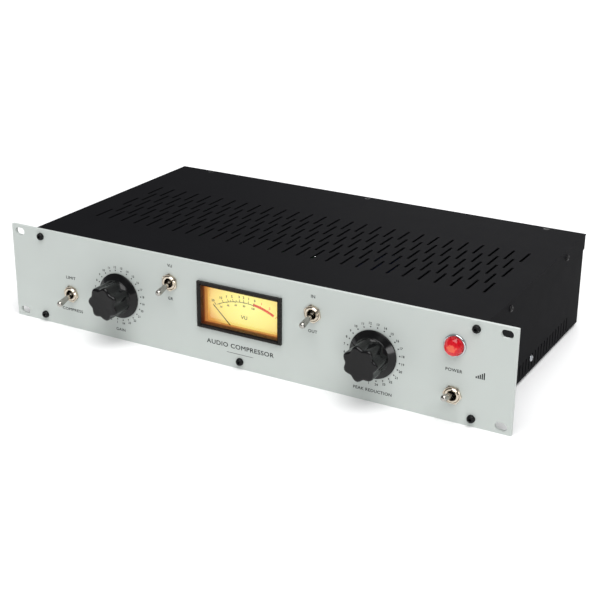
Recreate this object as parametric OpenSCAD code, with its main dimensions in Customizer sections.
// Two-unit rack compressor, in millimetres. X runs to the right seen from the front,
// Y to the back and Z up. The origin is the middle of the rack slots, on the panel's rear face.

/* [Front panel] */
// Width of the panel over both rack ears
panel_w = 482.6; // [450:0.1:600]
// Height of the panel
panel_h = 88.1; // [86:0.1:120]
// Thickness of the panel
panel_t = 3; // [2:0.5:5]
// Distance between the rack slots, left to right
rack_dx = 465.1; // [455:0.1:475]
// Distance between the rack slots, up and down
rack_dz = 76.2; // [70:0.1:80]
// Length of a rack slot
rack_slot_l = 10.2; // [7:0.1:13]
// Height of a rack slot
rack_slot_h = 6.8; // [5:0.1:8]

/* [Chassis] */
// Width of the base tray, outside
chassis_w = 428.6; // [426:0.1:520]
// Depth of the chassis behind the panel
chassis_d = 235; // [228:1:300]
// Height of the chassis with its cover
chassis_h = 85.1; // [84:0.1:110]
// How far the underside lies below the middle of the panel
chassis_drop = 41.4; // [41:0.1:50]
// Thickness of the tray and rear panel sheet
tray_t = 1.5; // [1:0.1:2]
// Thickness of the cover sheet
cover_t = 1.2; // [0.8:0.1:2]
// Height of the cover's side flanges
cover_skirt = 13.7; // [10:0.1:20]
// Gap between the cover's flanges and the tray
cover_gap = 0.1; // [0.05:0.05:0.4]
// Width of the flanges behind the panel's ends
front_flange_w = 11; // [9:0.5:11]
// Height of the lip along the front of the tray
front_lip_h = 8; // [7:0.5:8]
// Depth of the rear panel's top and bottom flanges
rear_flange_d = 14; // [10:1:20]

/* [Vents] */
// Length of a cover slot
slot_l = 25; // [15:1:30]
// Width of a cover or side slot
slot_w = 2.3; // [1.5:0.1:3]
// Distance between slots along a row of the cover
slot_pitch = 14.1; // [10:0.1:20]
// Distance between the rows of the cover
row_pitch = 20.3; // [15:0.1:30]
// Place of the front row behind the panel
first_row_y = 66.4; // [40:0.1:80]
// Rows of slots in the cover
row_count = 5; // [1:1:6]
// Slots in the longer rows
row_slots = 28; // [4:1:29]
// Distance between the side slots
side_pitch = 7.4; // [5:0.1:12]
// Number of side slots
side_slots = 25; // [4:1:26]
// Height of a side slot
side_slot_h = 13; // [8:1:20]

/* [Knobs] */
// Distance of each knob from the middle of the panel
knob_x = 123.8; // [115:0.1:135]
// Height of the knob axes
knob_z = -2.3; // [-10:0.1:10]
// Radius of the knob's skirt
skirt_r = 20.5; // [18:0.1:25]
// Radius over the lobes of the grip
grip_r = 15.4; // [13:0.1:17]
// Distance of the knob's face from the panel
knob_h = 25; // [22:0.5:32]
// Number of flutes round the grip
flutes = 7; // [5:1:9]
// Depth of a flute below the line between its lobes
flute_depth = 0.9; // [0.4:0.1:2.2]
// Angle of the input gain pointer at rest, clockwise from the top
gain_pointer = 217.5; // [0:0.5:360]
// Angle of the peak reduction pointer at rest, clockwise from the top
peak_pointer = 292.5; // [0:0.5:360]
// Diameter of the control shafts
shaft_d = 6; // [5:0.05:6.5]
// Radial clearance of a turning shaft in its bushing
shaft_gap = 0.05; // [0.02:0.01:0.1]

/* [Toggle switches] */
// Distance of the two inner switches from the middle
inner_switch_x = 69.2; // [60:0.1:80]
// Height of the two inner switches
inner_switch_z = 20.8; // [14:0.1:22]
// Place of the limit and compress switch, to the left of the middle
limit_x = 177; // [170:0.1:182]
// Height of the limit and compress switch
limit_z = -11.3; // [-20:0.1:10]
// Place of the power switch, to the right of the middle
power_x = 192.2; // [185:0.1:192.5]
// Height of the power switch
power_z = -20.8; // [-22:0.1:-19]
// Tilt of a lever to each side
lever_tilt = 13.5; // [8:0.5:14]
// Length of a lever from its pivot
lever_l = 20.5; // [14:0.5:26]
// Diameter of a switch bushing
bushing_d = 11.9; // [11.5:0.1:13]
// Width across the flats of a switch nut
switch_nut_af = 14; // [13.5:0.5:16]

/* [Meter] */
// Width of the meter's bezel
bezel_w = 81.6; // [76:0.1:90]
// Height of the meter's bezel
bezel_h = 41; // [38:0.1:46]
// Height of the bezel's middle
bezel_z = 7.7; // [5:0.1:9]
// How far the bezel stands proud of the panel
bezel_proud = 2.5; // [1:0.1:4]
// Width of the bezel's frame at the sides
bezel_side = 3.5; // [2.5:0.1:5]
// Width of the bezel's frame at the top and bottom
bezel_rail = 3.3; // [2.5:0.1:5]
// Width of the meter case
meter_case_w = 92; // [90:1:104]
// Depth of the meter case
meter_case_d = 38; // [34:1:50]
// Length of the needle from its pivot
needle_l = 42; // [30:0.5:42]
// Distance from the bezel's middle down to the pivot
pivot_drop = 30.4; // [28:0.1:31]
// Angle of the needle at rest, to the left of upright
needle_rest = 46.5; // [40:0.5:48]

/* [Lamp] */
// Height of the lamp, above the power switch
lamp_z = 20.6; // [18:0.1:24]
// Radius of the lamp's chrome flange
lamp_flange_r = 9.2; // [8.8:0.1:10]
// Radius of the jewel
jewel_r = 8; // [6.5:0.1:8.2]
// How far the jewel stands proud of the panel
jewel_h = 8.5; // [5:0.1:12]

/* [Rear connectors] */
// Place of the input socket, left of the middle
input_x = 150; // [140:1:180]
// Place of the output plug, left of the middle
output_x = 100; // [40:1:115]
// Height of both signal connectors
signal_z = 2; // [-10:0.5:15]
// Place of the mains inlet, right of the middle
inlet_x = 150; // [60:1:170]
// Height of the mains inlet
inlet_z = -6; // [-12:0.5:10]
// Travel of the fuse drawer
fuse_travel = 18; // [15:0.5:20]
// Clearance round the fuse drawer and the socket latch
slide_gap = 0.25; // [0.15:0.05:0.4]

/* [Inside] */
// Width of the circuit board
board_w = 280; // [270:1:285]
// Depth of the circuit board
board_d = 112; // [110:1:116]
// Place of the board's middle, left or right of the middle
board_x = -55; // [-60:1:-50]
// Place of the board's front edge
board_y = 84; // [80:1:88]
// Height of the standoffs under the board
standoff_h = 8; // [5:0.5:12]
// Outer radius of the power transformer
toroid_r = 44; // [38:0.5:48]
// Height of the power transformer
toroid_h = 34; // [28:0.5:44]
// Place of the power transformer's middle across the chassis
toroid_x = 150; // [145:1:160]
// Place of the power transformer's middle behind the panel
toroid_y = 128; // [120:1:140]

/* [Hidden] */
$fn = 48;
eps = 0.01;
cover_notch = 1.5;

// Heights and places that follow from the sizes above
floor_z = -chassis_drop + tray_t;
roof_z = chassis_h - chassis_drop - cover_t;
tray_half = chassis_w / 2;
inner_half = tray_half - tray_t;
cover_half = tray_half + cover_gap + cover_t;
rear_y = chassis_d - tray_t;
panel_front = -panel_t;
screw_inset = 5.8;
screw_low_z = -chassis_drop + 4;
screw_high_z = roof_z + cover_t - 6.3;
m4_r = 2;
m3_r = 1.5;
panel_screw_r = 3.4;
panel_screw_h = 3;
screw_fit = 0.1;
knob_places = [-knob_x, knob_x];
shaft_r = shaft_d / 2;
attenuator_bush_r = 4.75;
attenuator_nut_af = 14;
attenuator_r = 19;
attenuator_d = 48;
wafer_places = [16, 32];
wafer_t = 1.6;
rotor_r = 5.5;
knob_gap = 0.6;
knob_recess_r = 11;
knob_recess_d = 5;
knob_bore_d = 20;
grub_y = -13;
switch_places = [[-limit_x, limit_z], [-inner_switch_x, inner_switch_z],
                 [inner_switch_x, inner_switch_z], [power_x, power_z]];
bushing_r = bushing_d / 2;
bushing_bore_r = 3.9;
bushing_proud = 3;
lever_pivot_y = panel_front + 0.5;
lever_ball_r = 3.6;
lever_pin_r = 0.75;
switch_case_y = 6.5;
switch_case_d = 19.5;
switch_case_w = 17;
switch_case_h = 28;
switch_wall = 1.5;
window_w = bezel_w - 2 * bezel_side;
window_h = bezel_h - 2 * bezel_rail;
collar_wall = 1.5;
collar_back = 2;
pivot_z = bezel_z - pivot_drop;
meter_wall = 2;
meter_low_z = -chassis_drop + front_lip_h + 0.4;
meter_high_z = bezel_z + bezel_h / 2 + 2.8;
meter_mid_z = (meter_low_z + meter_high_z) / 2;
meter_inner_w = meter_case_w - 2 * meter_wall;
meter_inner_h = meter_high_z - meter_low_z - 2 * meter_wall;
glass_t = 1.2;
needle_y = 4.6;
scale_y = 6;
scale_t = 0.8;
movement_y = 9;
staff_r = 0.6;
yoke_r = 8;
bezel_bevel = 1;
meter_ear_x = meter_case_w / 2 + 5;
meter_ear_t = 3;
lever_tip_r = 2.7;
lever_tail_l = 11.5;
switch_lug_l = 7;
attenuator_bush_proud = 3.8;
lamp_flange_h = 2.2;
lamp_sleeve_l = 8;
lamp_socket_back = 30;
inlet_tail = 8;
fuse_r = 2.6;
fuse_l = 20;
valve_socket_h = 9;
valve_h = 46;
rear_screw_x = [-160, 0, 160];
lamp_sleeve_r = 8.5;
board_t = 1.6;
board_top = floor_z + standoff_h + board_t;
standoff_r = 3;
xlr_flange_w = 26;
xlr_flange_h = 31;
xlr_flange_t = 2;
xlr_barrel_r = 11.8;
xlr_bore_r = 9.6;
xlr_depth = 20;
xlr_screw = [9.5, 12];
inlet_flange_w = 50;
inlet_flange_h = 34;
inlet_body_w = 28;
inlet_body_h = 31;
inlet_depth = 26;
inlet_screw_x = 20;
cavity_w = 24.4;
cavity_h = 16.4;
cavity_z = -5.5;
cavity_d = 14;
drawer_w = 21.5;
drawer_h = 7.5;
drawer_z = 9;
drawer_d = fuse_travel + 2;
valve_places = [for (i = [0 : 3]) [board_x - 60 + 40 * i, board_y + 28]];
capacitor_places = [for (i = [0 : 2]) [board_x + 105, board_y + 22 + 34 * i]];
opto_place = [board_x - 110, board_y + 28];
input_can_place = [board_x - 113, board_y + 81];
output_core_place = [board_x - 38, board_y + 84];

// A flat outline in X and Z made a plate from y0 towards the back
module y_plate(y0, t) {
    translate([0, y0 + t, 0])
    rotate([90, 0, 0])
    linear_extrude(t)
    children();
}

// A flat outline in Y and Z made a plate from x0 to the right
module x_plate(x0, t) {
    translate([x0, 0, 0])
    rotate([90, 0, 90])
    linear_extrude(t)
    children();
}

// A round rod along Y
module y_rod(r, y0, y1) {
    translate([0, y0, 0])
    rotate([-90, 0, 0])
    cylinder(r = r, h = y1 - y0);
}

// A profile of radius against Y, turned about the Y axis
module y_turned() {
    rotate([-90, 0, 0])
    rotate_extrude()
    children();
}

// A round rod along X
module x_rod(r, x0, x1) {
    translate([x0, 0, 0])
    rotate([0, 90, 0])
    cylinder(r = r, h = x1 - x0);
}

// A slot outline along X, with round ends
module slot_outline(l, w) {
    square([l - w, w], center = true);
    for (s = [-1, 1])
        translate([s * (l - w) / 2, 0])
        circle(d = w);
}

// A rectangle with round corners
module soft_rectangle(w, h, r) {
    square([w - 2 * r, h], center = true);
    square([w, h - 2 * r], center = true);
    for (x = [-1, 1], z = [-1, 1])
        translate([x * (w / 2 - r), z * (h / 2 - r)])
        circle(r = r);
}

// A hexagon with its corners at the top and bottom
module hexagon(af) {
    rotate(90)
    circle(r = af / sqrt(3), $fn = 6);
}

// A screw along Y: its head lies in front of y = 0 and its shank behind it
module y_screw(head_r, head_h, shank_r, shank_l, socket_af) {
    difference() {
        union() {
            y_turned()
            polygon([[0, -head_h], [head_r * 0.62, -head_h], [head_r * 0.9, -head_h * 0.62],
                     [head_r, -head_h * 0.2], [head_r, 0], [0, 0]]);
            y_rod(shank_r, -eps, shank_l);
        }
        y_plate(-head_h - 1, 1 + head_h * 0.6)
        hexagon(socket_af);
    }
}

// A countersunk screw whose flat head is flush with y = 0
module y_flush_screw(head_r, shank_r, shank_l) {
    difference() {
        y_turned()
        polygon([[0, 0], [head_r, 0], [shank_r, head_r - shank_r],
                 [shank_r, shank_l], [0, shank_l]]);
        y_plate(-1, 1.6)
        hexagon(shank_r * 1.3);
    }
}

// The places of the five screws through the front panel
module at_panel_screws() {
    for (s = [-1, 1], z = [screw_low_z, screw_high_z])
        translate([s * (tray_half - screw_inset), 0, z])
        children();
    translate([0, 0, screw_low_z])
    children();
}

module front_panel() {
    color("#c8ceca") {
        panel_sheet();
        for (s = [-1, 1])
            translate([s * meter_ear_x, 0, meter_mid_z])
            y_rod(m3_r, -eps, meter_ear_t + 4);
    }
}

// The panel itself, without the two studs that hold the meter
module panel_sheet() {
    y_plate(panel_front, panel_t)
    difference() {
        square([panel_w, panel_h], center = true);
        for (x = [-1, 1], z = [-1, 1])
            translate([x * rack_dx / 2, z * rack_dz / 2])
            slot_outline(rack_slot_l, rack_slot_h);
        for (x = knob_places)
            translate([x, knob_z])
            circle(r = attenuator_bush_r + screw_fit);
        for (p = switch_places)
            translate(p)
            circle(r = bushing_r + screw_fit);
        translate([0, bezel_z])
        square([window_w + 2 * (collar_wall + screw_fit), window_h + 2 * (collar_wall + screw_fit)],
               center = true);
        translate([power_x, lamp_z])
        circle(r = lamp_sleeve_r + screw_fit);
        for (s = [-1, 1], z = [screw_low_z, screw_high_z])
            translate([s * (tray_half - screw_inset), z])
            circle(r = m4_r + screw_fit);
        translate([0, screw_low_z])
        circle(r = m4_r + screw_fit);
    }
}

cover_screw_y = [49, 184];
cover_screw_z = roof_z - 5.5;
cover_top_screws = [-180, 0, 180];
side_screw = [112, floor_z + 10];

module tray_side() {
    difference() {
        translate([0, -chassis_drop])
        square([chassis_d, roof_z + chassis_drop]);
        for (i = [0 : side_slots - 1])
            translate([26 + i * side_pitch, floor_z + 0.9 + side_slot_h / 2])
            rotate(90)
            slot_outline(side_slot_h, slot_w);
        for (y = cover_screw_y)
            translate([y, cover_screw_z])
            circle(r = m3_r + screw_fit);
        translate(side_screw)
        circle(r = m3_r + screw_fit);
    }
}

module base_tray() {
    color("#141516")
    difference() {
        union() {
            for (x = [-tray_half, inner_half])
                x_plate(x, tray_t)
                tray_side();
            translate([-tray_half, 0, -chassis_drop])
            cube([chassis_w, chassis_d, tray_t]);
            for (x = [-tray_half, tray_half - front_flange_w])
                translate([x, 0, -chassis_drop])
                cube([front_flange_w, tray_t, roof_z + chassis_drop]);
            translate([-tray_half, 0, -chassis_drop])
            cube([chassis_w, tray_t, front_lip_h]);
        }
        at_panel_screws()
        y_rod(m4_r + screw_fit, -1, tray_t + 1);
        for (x = rear_screw_x)
            translate([x, rear_y - 7, -chassis_drop - 1])
            cylinder(r = m3_r + screw_fit, h = tray_t + 2);
        at_standoffs()
        translate([0, 0, -chassis_drop - 1])
        cylinder(r = m3_r + screw_fit, h = tray_t + 2);
    }
}

module rear_panel() {
    color("#141516")
    difference() {
        union() {
            y_plate(rear_y, tray_t)
            difference() {
                translate([-inner_half + 0.1, floor_z])
                square([2 * inner_half - 0.2, roof_z - floor_z]);
                translate([-input_x, signal_z]) {
                    circle(r = xlr_barrel_r + 0.2);
                    translate([-4.6, 0])
                    square([9.2, 14.2]);
                }
                translate([-output_x, signal_z])
                circle(r = xlr_barrel_r + 0.2);
                for (x = [-input_x, -output_x], s = [-1, 1])
                    translate([x + s * xlr_screw[0], signal_z + s * xlr_screw[1]])
                    circle(r = m3_r + screw_fit);
                translate([inlet_x, inlet_z])
                square([inlet_body_w + 0.4, inlet_body_h + 0.4], center = true);
                for (s = [-1, 1])
                    translate([inlet_x + s * inlet_screw_x, inlet_z])
                    circle(r = m3_r + screw_fit);
            }
            for (z = [floor_z, roof_z - tray_t])
                translate([-inner_half + 0.1, rear_y - rear_flange_d, z])
                cube([2 * inner_half - 0.2, rear_flange_d + eps, tray_t]);
        }
        for (x = rear_screw_x)
            translate([x, rear_y - 7, floor_z - 1])
            cylinder(r = m3_r + screw_fit, h = tray_t + 2);
        for (x = cover_top_screws)
            translate([x, chassis_d - 4.5, roof_z - tray_t - 1])
            cylinder(r = m3_r + screw_fit, h = tray_t + 2);
    }
}

// The places of the cover's top screws, turned so that Y runs down from the cover's face
module at_top_screws() {
    for (x = cover_top_screws)
        translate([x, chassis_d - 4.5, roof_z + cover_t])
        rotate([-90, 0, 0])
        children();
}

module top_cover() {
    color("#161718")
    difference() {
        top_cover_sheet();
        at_top_screws()
        y_turned()
        polygon([[0, -1], [m3_r + cover_t + 1, -1], [m3_r, cover_t], [m3_r, cover_t + 1],
                 [0, cover_t + 1]]);
    }
}

// The cover's top and its two side flanges
module top_cover_sheet() {
    translate([-cover_half, 0, roof_z])
    linear_extrude(cover_t)
    difference() {
        square([2 * cover_half, chassis_d]);
        for (row = [0 : row_count - 1])
            let (n = row_slots - row % 2)
            for (i = [0 : n - 1])
                translate([cover_half + (i - (n - 1) / 2) * slot_pitch, first_row_y + row * row_pitch])
                rotate(90)
                slot_outline(slot_l, slot_w);
    }
    for (x = [-cover_half, cover_half - cover_t])
        x_plate(x, cover_t)
        difference() {
            translate([0, roof_z + cover_t - cover_skirt])
            square([chassis_d - cover_notch, cover_skirt - cover_t + eps]);
            for (y = cover_screw_y)
                translate([y, cover_screw_z])
                circle(r = m3_r + screw_fit);
        }
}

module panel_screws() {
    color("#0d0d0e")
    at_panel_screws()
    translate([0, panel_front, 0])
    y_screw(panel_screw_r, panel_screw_h, m4_r, panel_t + tray_t + 4, 2.5);
}

module cover_screws() {
    color("#0d0d0e") {
        for (s = [-1, 1], y = cover_screw_y)
            translate([s * cover_half, y, cover_screw_z])
            rotate([0, 0, s * 90])
            y_screw(2.8, 1.4, m3_r, 7, 2);
        at_top_screws()
        y_flush_screw(m3_r + cover_t, m3_r, 7);
    }
}

// The places of the board's standoffs
module at_standoffs() {
    for (i = [0 : 2], j = [0 : 1])
        translate([board_x + (i - 1) * (board_w / 2 - 6), board_y + 6 + j * (board_d - 12), 0])
        children();
}

// The screws that hold the rear panel, the board and the meter from inside and below
module chassis_screws() {
    color("#2a2b2d") {
        for (x = rear_screw_x)
            translate([x, rear_y - 7, -chassis_drop])
            rotate([90, 0, 0])
            y_screw(2.8, 1.2, m3_r, 6, 2);
        at_standoffs() {
            translate([0, 0, -chassis_drop])
            rotate([90, 0, 0])
            y_screw(2.8, 1.2, m3_r, tray_t + standoff_h * 0.45, 2);
            translate([0, 0, board_top])
            rotate([-90, 0, 0])
            y_screw(2.8, 1.4, m3_r, board_t + standoff_h * 0.45, 2);
        }
        for (s = [-1, 1]) {
            translate([s * tray_half, side_screw[0], side_screw[1]])
            rotate([0, 0, s * 90])
            y_screw(2.8, 1.2, m3_r, 5, 2);
            translate([s * meter_ear_x, meter_ear_t, meter_mid_z])
            y_plate(0, 2.4)
            difference() {
                hexagon(5.5);
                circle(r = m3_r);
            }
        }
    }
}

// The cutter of one flute: it passes through both lobes and ends in a ball near the skirt
flute_half = 180 / flutes - 3.5;
flute_dip = grip_r * (cos(flute_half) - cos(180 / flutes)) + flute_depth;
flute_r = (pow(grip_r * sin(flute_half), 2) + pow(flute_dip, 2)) / (2 * flute_dip);
flute_c = grip_r * cos(180 / flutes) - flute_depth + flute_r;
skirt_top = 5.2;
flute_end = -skirt_top - 1 - sqrt(pow(flute_r, 2) - pow(flute_c - grip_r, 2));
grip_edge = 2;

// A control knob, its skirt just off the panel: its pointer is on a lobe, above the grub screw
module knob(x, pointer) {
    color("#0b0b0c")
    translate([x, panel_front, knob_z])
    rotate([0, pointer, 0])
    difference() {
        union() {
            y_turned()
            polygon([[0, -skirt_top], [grip_r - 0.4, -skirt_top], [skirt_r, -knob_gap - 1],
                     [skirt_r, -knob_gap], [0, -knob_gap]]);
            difference() {
                y_turned() {
                    polygon([[0, -knob_h], [grip_r - grip_edge, -knob_h],
                             [grip_r - grip_edge, -knob_h + grip_edge],
                             [grip_r, -knob_h + grip_edge],
                             [grip_r, -skirt_top + eps], [0, -skirt_top + eps]]);
                    translate([grip_r - grip_edge, -knob_h + grip_edge])
                    circle(r = grip_edge);
                }
                for (i = [0 : flutes - 1])
                    rotate([0, (i + 0.5) * 360 / flutes, 0])
                    translate([0, 0, flute_c]) {
                        y_rod(flute_r, -knob_h - 1, flute_end);
                        translate([0, flute_end, 0])
                        rotate([-90, 0, 0])
                        sphere(r = flute_r);
                    }
            }
        }
        y_rod(knob_recess_r, -knob_recess_d, 0);
        y_rod(shaft_r, -knob_bore_d, 0);
        translate([0, grub_y, 0])
        cylinder(r = m3_r, h = grip_r + 1);
        translate([0, -knob_gap - 1 - (skirt_top - knob_gap - 1) * 0.45, skirt_r - (skirt_r - grip_r) * 0.45])
        rotate([-atan2(skirt_top - knob_gap - 1, skirt_r - grip_r), 0, 0])
        cube([0.8, 0.8, 4.6], center = true);
    }
}

module gain_knob() {
    knob(-knob_x, gain_pointer);
}

module peak_knob() {
    knob(knob_x, peak_pointer);
}

// The headless screw that grips a shaft, below the pointer
module grub_screw(x, pointer) {
    color("#2a2b2d")
    translate([x, panel_front + grub_y, knob_z])
    rotate([0, pointer, 0])
    difference() {
        translate([0, 0, shaft_r])
        cylinder(r = m3_r, h = 6);
        translate([0, 0, shaft_r + 4])
        cylinder(r = 0.85, h = 3, $fn = 6);
    }
}

module gain_grub_screw() {
    grub_screw(-knob_x, gain_pointer);
}

module peak_grub_screw() {
    grub_screw(knob_x, peak_pointer);
}

// A control shaft with the two contact rotors that sweep its wafers
module control_shaft(x) {
    color("#a8a9aa")
    translate([x, 0, knob_z]) {
        y_rod(shaft_r, panel_front - knob_bore_d, attenuator_d);
        for (y = wafer_places)
            y_rod(rotor_r, y, y + wafer_t);
    }
}

module gain_shaft() {
    control_shaft(-knob_x);
}

module peak_shaft() {
    control_shaft(knob_x);
}

// The metal frame of a stepped attenuator: bushing, two plates and two posts
module attenuator(x) {
    color("#8f9193")
    translate([x, 0, knob_z])
    difference() {
        union() {
            y_rod(attenuator_bush_r, panel_front - attenuator_bush_proud, eps);
            y_rod(attenuator_r, 0, 2);
            y_plate(attenuator_d - 2, 2)
            slot_outline(2 * attenuator_r, 16);
            for (s = [-1, 1])
                translate([s * 14.5, 0, 0])
                y_rod(1.6, 2 - eps, attenuator_d - 2 + eps);
        }
        y_rod(shaft_r + shaft_gap, panel_front - 10, attenuator_d + 1);
    }
}

module gain_attenuator() {
    attenuator(-knob_x);
}

module peak_attenuator() {
    attenuator(knob_x);
}

module attenuator_wafers() {
    color("#7a4a22")
    for (x = knob_places, y = wafer_places)
        translate([x, 0, knob_z])
        y_plate(y, wafer_t)
        difference() {
            circle(r = attenuator_r - 1);
            circle(r = rotor_r + 0.3);
            for (s = [-1, 1])
                translate([s * 14.5, 0])
                circle(r = 1.6);
            for (i = [0 : 23])
                if (i % 12 != 0)
                    rotate(i * 15)
                    translate([16.4, 0])
                    circle(r = 0.6);
        }
}

module attenuator_nuts() {
    color("#b5b0a4")
    for (x = knob_places)
        translate([x, panel_front, knob_z])
        difference() {
            union() {
                y_plate(-2.6, 2.2 + eps)
                hexagon(attenuator_nut_af);
                y_rod(attenuator_nut_af / 2 + 1, -0.4, 0);
            }
            y_rod(attenuator_bush_r, -4, 1);
        }
}

// A bat lever on its pivot pin, tilted up or down
module lever(place, up) {
    color("#c9c4bb")
    translate([place[0], lever_pivot_y, place[1]])
    rotate([-up * lever_tilt, 0, 0]) {
        sphere(r = lever_ball_r);
        x_rod(lever_pin_r, -5, 5);
        y_turned()
        polygon([[0, 0], [1.9, 0], [1.9, -3], [2.3, -4.5],
                 [lever_tip_r, -lever_l + lever_tip_r], [0, -lever_l + lever_tip_r]]);
        translate([0, -lever_l + lever_tip_r, 0])
        sphere(r = lever_tip_r);
        y_rod(1.4, 0, lever_tail_l);
    }
}

module limit_lever() {
    lever(switch_places[0], -1);
}

module meter_lever() {
    lever(switch_places[1], -1);
}

module bypass_lever() {
    lever(switch_places[2], -1);
}

module power_lever() {
    lever(switch_places[3], 1);
}

// A switch case behind the panel, open in front where the lever's tail enters
module switch_case(place) {
    color("#1c2f52")
    translate([place[0], 0, place[1]])
    difference() {
        y_plate(switch_case_y, switch_case_d)
        soft_rectangle(switch_case_w, switch_case_h, 1);
        y_plate(switch_case_y + switch_wall, switch_case_d - 2 * switch_wall)
        square([switch_case_w - 2 * switch_wall, switch_case_h - 2 * switch_wall], center = true);
        y_rod(4.5, switch_case_y - 1, switch_case_y + switch_wall + eps);
    }
}

module limit_switch() {
    switch_case(switch_places[0]);
}

module meter_switch() {
    switch_case(switch_places[1]);
}

module bypass_switch() {
    switch_case(switch_places[2]);
}

module power_switch() {
    switch_case(switch_places[3]);
}

module switch_bushings() {
    color("#b5b0a4")
    for (p = switch_places)
        translate([p[0], 0, p[1]])
        difference() {
            y_rod(bushing_r, panel_front - bushing_proud, switch_case_y);
            y_rod(bushing_bore_r, panel_front - bushing_proud - 1, switch_case_y + 1);
            translate([0, lever_pivot_y, 0])
            x_rod(lever_pin_r + shaft_gap, -5.2, 5.2);
        }
}

module switch_nuts() {
    color("#b5b0a4")
    for (p = switch_places, y = [panel_front - 2, 0])
        translate([p[0], 0, p[1]])
        y_plate(y, 2)
        difference() {
            hexagon(switch_nut_af);
            circle(r = bushing_r);
        }
}

module switch_terminals() {
    color("#b8a04a")
    for (p = switch_places, dz = [-9, 0, 9])
        translate([p[0] - 2.5, switch_case_y + switch_case_d, p[1] + dz - 0.4])
        cube([5, switch_lug_l, 0.8]);
}

module meter_bezel() {
    color("#15130f")
    translate([0, 0, bezel_z])
    difference() {
        union() {
            y_plate(panel_front - bezel_proud, bezel_proud)
            square([bezel_w, bezel_h], center = true);
            y_plate(panel_front - eps, collar_back + panel_t + eps)
            square([window_w + 2 * collar_wall, window_h + 2 * collar_wall], center = true);
        }
        y_plate(panel_front - bezel_proud - 1, bezel_proud + panel_t + collar_back + 2)
        square([window_w, window_h], center = true);
        for (s = [-1, 1]) {
            translate([s * window_w / 2, panel_front - bezel_proud, 0])
            rotate([0, 0, 45])
            cube([bezel_bevel * sqrt(2), bezel_bevel * sqrt(2), bezel_h * 0.92], center = true);
            translate([0, panel_front - bezel_proud, s * window_h / 2])
            rotate([45, 0, 0])
            cube([bezel_w * 0.94, bezel_bevel * sqrt(2), bezel_bevel * sqrt(2)], center = true);
        }
    }
}

// A sheet that fills the inside of the meter case
module meter_sheet(y, t) {
    y_plate(y, t)
    translate([0, meter_mid_z])
    square([meter_inner_w - 0.2, meter_inner_h - 0.2], center = true);
}

module meter_window() {
    color("#dfe7ea", 0.35)
    meter_sheet(collar_back, glass_t);
}

module meter_scale() {
    color("#f4c95a")
    difference() {
        meter_sheet(scale_y, scale_t);
        translate([0, 0, pivot_z])
        y_rod(5, scale_y - 1, scale_y + 2);
    }
}

module meter_case() {
    color("#222222")
    difference() {
        union() {
            y_plate(0, meter_case_d)
            translate([0, meter_mid_z])
            square([meter_case_w, meter_high_z - meter_low_z], center = true);
            y_plate(0, meter_ear_t)
            translate([0, meter_mid_z])
            slot_outline(2 * meter_ear_x + 9, 9);
        }
        y_plate(-1, meter_case_d - meter_wall + 1)
        translate([0, meter_mid_z])
        square([meter_inner_w, meter_inner_h], center = true);
        for (s = [-1, 1])
            translate([s * meter_ear_x, 0, meter_mid_z])
            y_rod(m3_r + screw_fit, -1, meter_ear_t + 1);
    }
}

// The fixed part of the meter movement: core magnet, yoke ring and two bearing bridges
module meter_movement() {
    color("#8c8f93")
    translate([0, 0, pivot_z])
    difference() {
        union() {
            difference() {
                y_rod(yoke_r, movement_y + 3, movement_y + 13);
                y_rod(yoke_r - 0.9, movement_y + 2, movement_y + 14);
            }
            y_rod(4.3, movement_y + 3, movement_y + 13);
            translate([-1.2, movement_y + 5, -yoke_r + 0.4])
            cube([2.4, 6, yoke_r - 3]);
            for (y = [movement_y - 0.4, movement_y + 15.2])
                translate([-2.5, y, -yoke_r])
                cube([5, 1.2, 2 * yoke_r]);
            for (s = [-1, 1], y = [movement_y, movement_y + 12.8])
                translate([-2, y, s > 0 ? yoke_r - 0.8 : -yoke_r])
                cube([4, 3.2, 0.8]);
            for (s = [-1, 1])
                translate([0, 0, s * 5.5])
                y_rod(1.5, movement_y + 16, meter_case_d - meter_wall);
        }
        y_rod(1.2, movement_y + 2, movement_y + 14);
        y_rod(staff_r + shaft_gap, movement_y - 1, movement_y + 17);
    }
}

module meter_needle() {
    color("#2b1c0c")
    translate([0, 0, pivot_z])
    rotate([0, -needle_rest, 0]) {
        y_rod(2.6, needle_y - 0.4, needle_y + 0.6);
        y_plate(needle_y - 0.2, 0.4)
        polygon([[-0.5, -6.5], [0.5, -6.5], [0.2, needle_l], [-0.2, needle_l]]);
        y_rod(staff_r, needle_y, movement_y + 16.4);
    }
}

// The moving coil, a frame round the core magnet, at right angles to the needle
module meter_coil() {
    color("#b06a35")
    translate([0, 0, pivot_z])
    rotate([0, -needle_rest, 0])
    difference() {
        translate([-6.2, movement_y + 1.2, -1])
        cube([12.4, 13.6, 2]);
        translate([-4.9, movement_y + 2.4, -2])
        cube([9.8, 11.2, 4]);
        y_rod(staff_r, movement_y, movement_y + 16);
    }
}

// The pilot bulb and the meter's two bulbs, each a glass envelope on its base
module lamp_bulbs() {
    color("#f2d9a0") {
        translate([power_x, 0, lamp_z])
        bulb(lamp_socket_back, 5, 30);
        for (s = [-1, 1])
            translate([s * 28, 0, bezel_z + 4])
            bulb(meter_case_d - meter_wall, 3, 18);
    }
}

module bulb(base_y, r, l) {
    y_rod(r * 0.85, base_y - l * 0.35, base_y);
    y_rod(r, base_y - l + r, base_y - l * 0.35 + eps);
    translate([0, base_y - l + r, 0])
    sphere(r = r);
}

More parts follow.
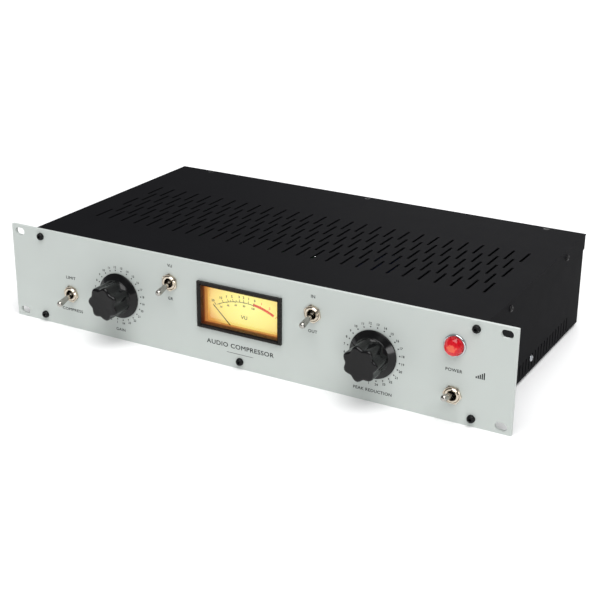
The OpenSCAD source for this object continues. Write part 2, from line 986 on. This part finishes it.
module lamp_bezel() {
    color("#d2d4d6")
    translate([power_x, 0, lamp_z])
    y_turned()
    polygon([[lamp_flange_r - 0.8, panel_front - lamp_flange_h],
             [jewel_r, panel_front - lamp_flange_h],
             [jewel_r, panel_front - 0.4], [6.8, panel_front - 0.4],
             [6.8, lamp_sleeve_l], [lamp_sleeve_r, lamp_sleeve_l],
             [lamp_sleeve_r, panel_front], [lamp_flange_r, panel_front],
             [lamp_flange_r, panel_front - lamp_flange_h + 0.8]]);
}

module lamp_jewel() {
    color("#c4101c")
    translate([power_x, panel_front, lamp_z])
    y_turned()
    polygon([[0, -jewel_h], [jewel_r * 0.42, -jewel_h * 0.95], [jewel_r * 0.76, -jewel_h * 0.76],
             [jewel_r * 0.94, -jewel_h * 0.5], [jewel_r, -lamp_flange_h], [jewel_r, -0.4], [0, -0.4]]);
}

module lamp_nut() {
    color("#b5b0a4")
    translate([power_x, 0, lamp_z])
    y_plate(0, 3)
    difference() {
        hexagon(20);
        circle(r = lamp_sleeve_r);
    }
}

module lamp_socket() {
    color("#4a4b4d")
    translate([power_x, 0, lamp_z])
    y_turned()
    polygon([[0, lamp_socket_back], [6.8, lamp_socket_back], [6.8, lamp_sleeve_l],
             [lamp_sleeve_r, lamp_sleeve_l], [lamp_sleeve_r, lamp_socket_back + 2],
             [0, lamp_socket_back + 2]]);
}

// Places a connector on the rear panel, with +Y out of the back
module on_rear(x, z) {
    translate([x, chassis_d, z])
    children();
}

// The upright place of each blade in the inlet's cavity: across and up
blade_places = [[-7, cavity_z - 2], [0, cavity_z + 2], [7, cavity_z - 2]];
blade_w = 2;
blade_h = 4;

module at_blades() {
    for (p = blade_places)
        translate([p[0] - blade_w / 2, 0, p[1] - blade_h / 2])
        children();
}

module mains_inlet() {
    color("#161616")
    on_rear(inlet_x, inlet_z)
    difference() {
        union() {
            y_plate(0, 2)
            soft_rectangle(inlet_flange_w, inlet_flange_h, 3);
            y_plate(-inlet_depth, inlet_depth + eps)
            square([inlet_body_w, inlet_body_h], center = true);
        }
        y_plate(-cavity_d, cavity_d + 3)
        translate([0, cavity_z])
        soft_rectangle(cavity_w, cavity_h, 3);
        y_plate(-drawer_d - slide_gap, drawer_d + slide_gap + 3)
        translate([0, drawer_z])
        square([drawer_w + 2 * slide_gap, drawer_h + 2 * slide_gap], center = true);
        at_blades()
        translate([0, -inlet_depth - 1, 0])
        cube([blade_w, inlet_depth, blade_h]);
        for (s = [-1, 1])
            translate([s * inlet_screw_x, 0, 0])
            y_rod(m3_r + screw_fit, -1, 3);
    }
}

module inlet_blades() {
    color("#b9bbbd")
    on_rear(inlet_x, inlet_z)
    at_blades()
    translate([0, -inlet_depth - inlet_tail, 0])
    cube([blade_w, inlet_depth + inlet_tail - 1, blade_h]);
}

module fuse_drawer() {
    color("#1d1d1e")
    on_rear(inlet_x, inlet_z + drawer_z)
    difference() {
        union() {
            y_plate(-drawer_d, drawer_d + 2 + slide_gap)
            square([drawer_w, drawer_h], center = true);
            y_plate(2 + slide_gap, 1.4)
            soft_rectangle(drawer_w + 2.4, drawer_h + 2, 1);
        }
        translate([-fuse_l / 2 - 0.2, -drawer_d + 3, -drawer_h / 2 + 1])
        cube([fuse_l + 0.4, 2 * fuse_r + 0.6, drawer_h]);
        translate([-4, 3.4 - 0.6, -drawer_h / 2 - 2])
        cube([8, 2, 2.4]);
    }
}

module mains_fuse() {
    color("#cfd3d6")
    on_rear(inlet_x, inlet_z + drawer_z)
    translate([0, -drawer_d + 3.3 + fuse_r, -drawer_h / 2 + 1 + fuse_r])
    x_rod(fuse_r, -fuse_l / 2, fuse_l / 2);
}

// The flange and barrel that both signal connectors share
module signal_shell(x, back) {
    on_rear(x, signal_z)
    difference() {
        union() {
            y_plate(0, xlr_flange_t)
            soft_rectangle(xlr_flange_w, xlr_flange_h, 3);
            y_rod(xlr_barrel_r, -xlr_depth, eps);
        }
        y_rod(xlr_bore_r, back, xlr_flange_t + 1);
        for (s = [-1, 1])
            translate([s * xlr_screw[0], 0, s * xlr_screw[1]])
            y_rod(m3_r + screw_fit, -1, xlr_flange_t + 1);
        children();
    }
}

latch_w = 7.6;
latch_low = 9.8;
latch_high = 13.3;

module input_shell() {
    color("#1b1c1e")
    signal_shell(-input_x, -xlr_depth - 1)
    translate([-latch_w / 2 - slide_gap, -15, 7])
    cube([latch_w + 2 * slide_gap, 20, latch_high + slide_gap - 7]);
}

// The three contact places of a signal connector
contact_places = [[-3.6, 2], [3.6, 2], [0, -4]];

module input_insert() {
    color("#101011")
    on_rear(-input_x, signal_z)
    difference() {
        union() {
            y_rod(xlr_bore_r, -xlr_depth + 1, -15.5);
            y_rod(7.9, -15.6, -0.5);
        }
        for (p = contact_places)
            translate([p[0], 0, p[1]])
            y_rod(1.3, -14, 0);
    }
}

module input_latch() {
    color("#2e3033")
    on_rear(-input_x, signal_z)
    translate([-latch_w / 2, -9, latch_low])
    cube([latch_w, 9 + xlr_flange_t + 1.8, latch_high - latch_low]);
}

module output_shell() {
    color("#1b1c1e")
    signal_shell(-output_x, -14)
    for (p = contact_places)
        translate([p[0], 0, p[1]])
        y_rod(1.2, -xlr_depth - 1, -13);
}

module output_pins() {
    color("#c2b27a")
    on_rear(-output_x, signal_z)
    for (p = contact_places)
        translate([p[0], 0, p[1]])
        y_rod(1.2, -xlr_depth - 5, 0.5);
}

module connector_screws() {
    color("#0d0d0e") {
        for (x = [-input_x, -output_x], s = [-1, 1])
            on_rear(x + s * xlr_screw[0], signal_z + s * xlr_screw[1])
            translate([0, xlr_flange_t, 0])
            rotate([0, 0, 180])
            y_screw(2.7, 1.5, m3_r, 7, 2);
        for (s = [-1, 1])
            on_rear(inlet_x + s * inlet_screw_x, inlet_z)
            translate([0, 2, 0])
            rotate([0, 0, 180])
            y_screw(2.7, 1.5, m3_r, 7, 2);
    }
}

module circuit_board() {
    color("#1f4a33") {
        difference() {
            translate([board_x - board_w / 2, board_y, board_top - board_t])
            cube([board_w, board_d, board_t]);
            at_standoffs()
            translate([0, 0, board_top - board_t - 1])
            cylinder(r = m3_r + screw_fit, h = board_t + 2);
        }
        for (i = [0 : 3], j = [0 : 1])
            translate([board_x + 8 + 20 * i, board_y + 62 + 20 * j, board_top - eps])
            cube([14, 8, 12]);
    }
}

module board_standoffs() {
    color("#b8a04a")
    at_standoffs()
    translate([0, 0, floor_z])
    difference() {
        cylinder(r = standoff_r, h = standoff_h, $fn = 6);
        translate([0, 0, -1])
        cylinder(r = m3_r, h = standoff_h + 2);
    }
}

module valve_sockets() {
    color("#e6e2d6")
    for (p = valve_places)
        translate([p[0], p[1], board_top])
        difference() {
            cylinder(r = 11.5, h = valve_socket_h);
            translate([0, 0, 2])
            cylinder(r = 3, h = valve_socket_h);
            for (i = [0 : 8])
                rotate(i * 36)
                translate([6, 0, 3])
                cylinder(r = 0.7, h = valve_socket_h);
        }
}

module valves() {
    color("#9fb0b5", 0.5)
    for (p = valve_places)
        translate([p[0], p[1], board_top + valve_socket_h])
        rotate_extrude()
        polygon([[0, 0], [10, 0], [11, 1.5], [11, valve_h - 8], [9.5, valve_h - 4],
                 [5, valve_h - 1.5], [1.5, valve_h - 0.8], [0.8, valve_h], [0, valve_h]]);
}

module opto_cell() {
    color("#9a9ca0")
    translate([opto_place[0], opto_place[1], board_top])
    rotate_extrude()
    polygon([[0, 0], [14, 0], [14, 8], [16, 8], [16, 42], [15, 44], [0, 44]]);
}

module signal_transformers() {
    color("#3a3b3e") {
        translate([input_can_place[0], input_can_place[1], board_top])
        rotate_extrude()
        polygon([[0, 0], [19, 0], [19, 42], [17.5, 44], [0, 44]]);
        translate([output_core_place[0] - 24, output_core_place[1] - 12, board_top])
        cube([48, 24, 42]);
        for (s = [-1, 1])
            translate([output_core_place[0] - 15, output_core_place[1] + (s > 0 ? 12 : -20), board_top + 7])
            cube([30, 8, 28]);
    }
}

toroid_z = floor_z + 1.5;
toroid_bore_r = 14;
toroid_round = 7;

module power_transformer() {
    color("#c98a2d")
    translate([toroid_x, toroid_y, toroid_z])
    rotate_extrude()
    translate([(toroid_r + toroid_bore_r) / 2, toroid_h / 2])
    soft_rectangle(toroid_r - toroid_bore_r, toroid_h, toroid_round);
}

module transformer_clamp() {
    color("#3f4144")
    translate([toroid_x, toroid_y, 0]) {
        for (z = [floor_z, toroid_z + toroid_h])
            translate([0, 0, z])
            difference() {
                cylinder(r = toroid_r - 4, h = 1.5);
                translate([0, 0, -1])
                cylinder(r = 4, h = 4);
            }
        translate([0, 0, toroid_z + toroid_h + 1.5])
        difference() {
            cylinder(r = toroid_r - 12, h = 2);
            translate([0, 0, -1])
            cylinder(r = 4, h = 4);
        }
        translate([0, 0, floor_z])
        cylinder(r = 4, h = toroid_h + 14);
        translate([0, 0, toroid_z + toroid_h + 3.5])
        difference() {
            cylinder(r = 13 / sqrt(3), h = 6.5, $fn = 6);
            translate([0, 0, -1])
            cylinder(r = 4, h = 9);
        }
    }
}

module filter_capacitors() {
    color("#27303f")
    for (p = capacitor_places)
        translate([p[0], p[1], board_top])
        rotate_extrude()
        polygon([[0, 0], [12.5, 0], [12.5, 3], [12, 3.6], [12.5, 4.2], [12.5, 41], [11.8, 42], [0, 42]]);
}

function unit(v) = v / norm(v);

// A path whose inner corners are rounded over the distance c to each side
function eased(p, c) = concat(
    [p[0]],
    [for (i = [1 : len(p) - 2], t = [0 : 0.25 : 1])
        let (a = p[i] + c * unit(p[i - 1] - p[i]), b = p[i] + c * unit(p[i + 1] - p[i]))
        (1 - t) * (1 - t) * a + 2 * t * (1 - t) * p[i] + t * t * b],
    [p[len(p) - 1]]);

// The direction of a path at its point i
function heading(p, i) =
    i == 0 ? unit(p[1] - p[0])
    : i == len(p) - 1 ? unit(p[i] - p[i - 1])
    : unit(unit(p[i] - p[i - 1]) + unit(p[i + 1] - p[i]));

// The rings of a tube along a path, each turned as little as possible from the one before
function rings(p, r, n, u, i = 0) =
    i == len(p) ? []
    : let (d = heading(p, i), w = unit(u - (u * d) * d), v = cross(d, w))
      concat([for (k = [0 : n - 1]) p[i] + r * (cos(360 * k / n) * w + sin(360 * k / n) * v)],
             rings(p, r, n, w, i + 1));

// A wire bundle of radius r through a list of points
module loom(points, r) {
    n = 8;
    path = eased(points, 4);
    last = len(path) - 1;
    polyhedron(
        points = rings(path, r, n, cross(heading(path, 0), [0.3, 0.2, 1])),
        faces = concat(
            [[for (k = [n - 1 : -1 : 0]) n - 1 - k]],
            [for (i = [0 : last - 1], k = [0 : n - 1])
                [i * n + k, (i + 1) * n + k, (i + 1) * n + (k + 1) % n, i * n + (k + 1) % n]],
            [[for (k = [n - 1 : -1 : 0]) last * n + k]]));
}

loom_r = 2;
lug_y = switch_case_y + switch_case_d + switch_lug_l;
side_run_x = inner_half - 8;
board_right = board_x + board_w / 2;

module wiring_looms() {
    color("#6b2320") {
        loom([[inlet_x + 7, chassis_d - inlet_depth - inlet_tail, inlet_z + blade_places[2][1]],
              [inlet_x + 7, rear_y - rear_flange_d - 26, inlet_z + blade_places[2][1]],
              [side_run_x, rear_y - rear_flange_d - 32, -15],
              [side_run_x, 50, power_z],
              [power_x, lug_y + 8, power_z],
              [power_x, lug_y, power_z]], loom_r);
        loom([[-input_x, chassis_d - xlr_depth + 1, signal_z],
              [-input_x, board_y + board_d + 4, signal_z],
              [-input_x, board_y + board_d - 6, board_top + 10],
              [-input_x, board_y + board_d - 6, board_top]], loom_r);
        loom([[-output_x, chassis_d - xlr_depth - 5, signal_z - 4],
              [-output_x, board_y + board_d + 4, signal_z - 4],
              [-output_x, board_y + board_d - 3, board_top + 10],
              [-output_x, board_y + board_d - 3, board_top]], 1.4);
        loom([[-knob_x, attenuator_d, knob_z - 7],
              [-knob_x, board_y - 10, knob_z - 7],
              [-knob_x, board_y + 4, board_top + 10],
              [-knob_x, board_y + 4, board_top]], loom_r);
        loom([[knob_x, attenuator_d, knob_z - 7],
              [knob_x, attenuator_d + 12, knob_z - 7],
              [board_right - 5, board_y - 8, board_top + 12],
              [board_right - 5, board_y + 14, board_top + 10],
              [board_right - 5, board_y + 14, board_top]], loom_r);
        loom([[toroid_x - toroid_r, toroid_y, toroid_z + toroid_h / 2],
              [board_right - 4, toroid_y, toroid_z + toroid_h / 2],
              [board_right - 4, toroid_y, board_top]], loom_r);
    }
}

front_panel();
base_tray();
rear_panel();
top_cover();
panel_screws();
cover_screws();
chassis_screws();
gain_knob();
gain_grub_screw();
gain_shaft();
gain_attenuator();
peak_knob();
peak_grub_screw();
peak_shaft();
peak_attenuator();
attenuator_wafers();
attenuator_nuts();
limit_lever();
meter_lever();
bypass_lever();
power_lever();
limit_switch();
meter_switch();
bypass_switch();
power_switch();
switch_bushings();
switch_nuts();
switch_terminals();
meter_bezel();
meter_window();
meter_scale();
meter_case();
meter_movement();
meter_needle();
meter_coil();
lamp_bulbs();
lamp_bezel();
lamp_jewel();
lamp_nut();
lamp_socket();
mains_inlet();
inlet_blades();
fuse_drawer();
mains_fuse();
input_shell();
input_insert();
input_latch();
output_shell();
output_pins();
connector_screws();
circuit_board();
board_standoffs();
valve_sockets();
valves();
opto_cell();
signal_transformers();
power_transformer();
transformer_clamp();
filter_capacitors();
wiring_looms();
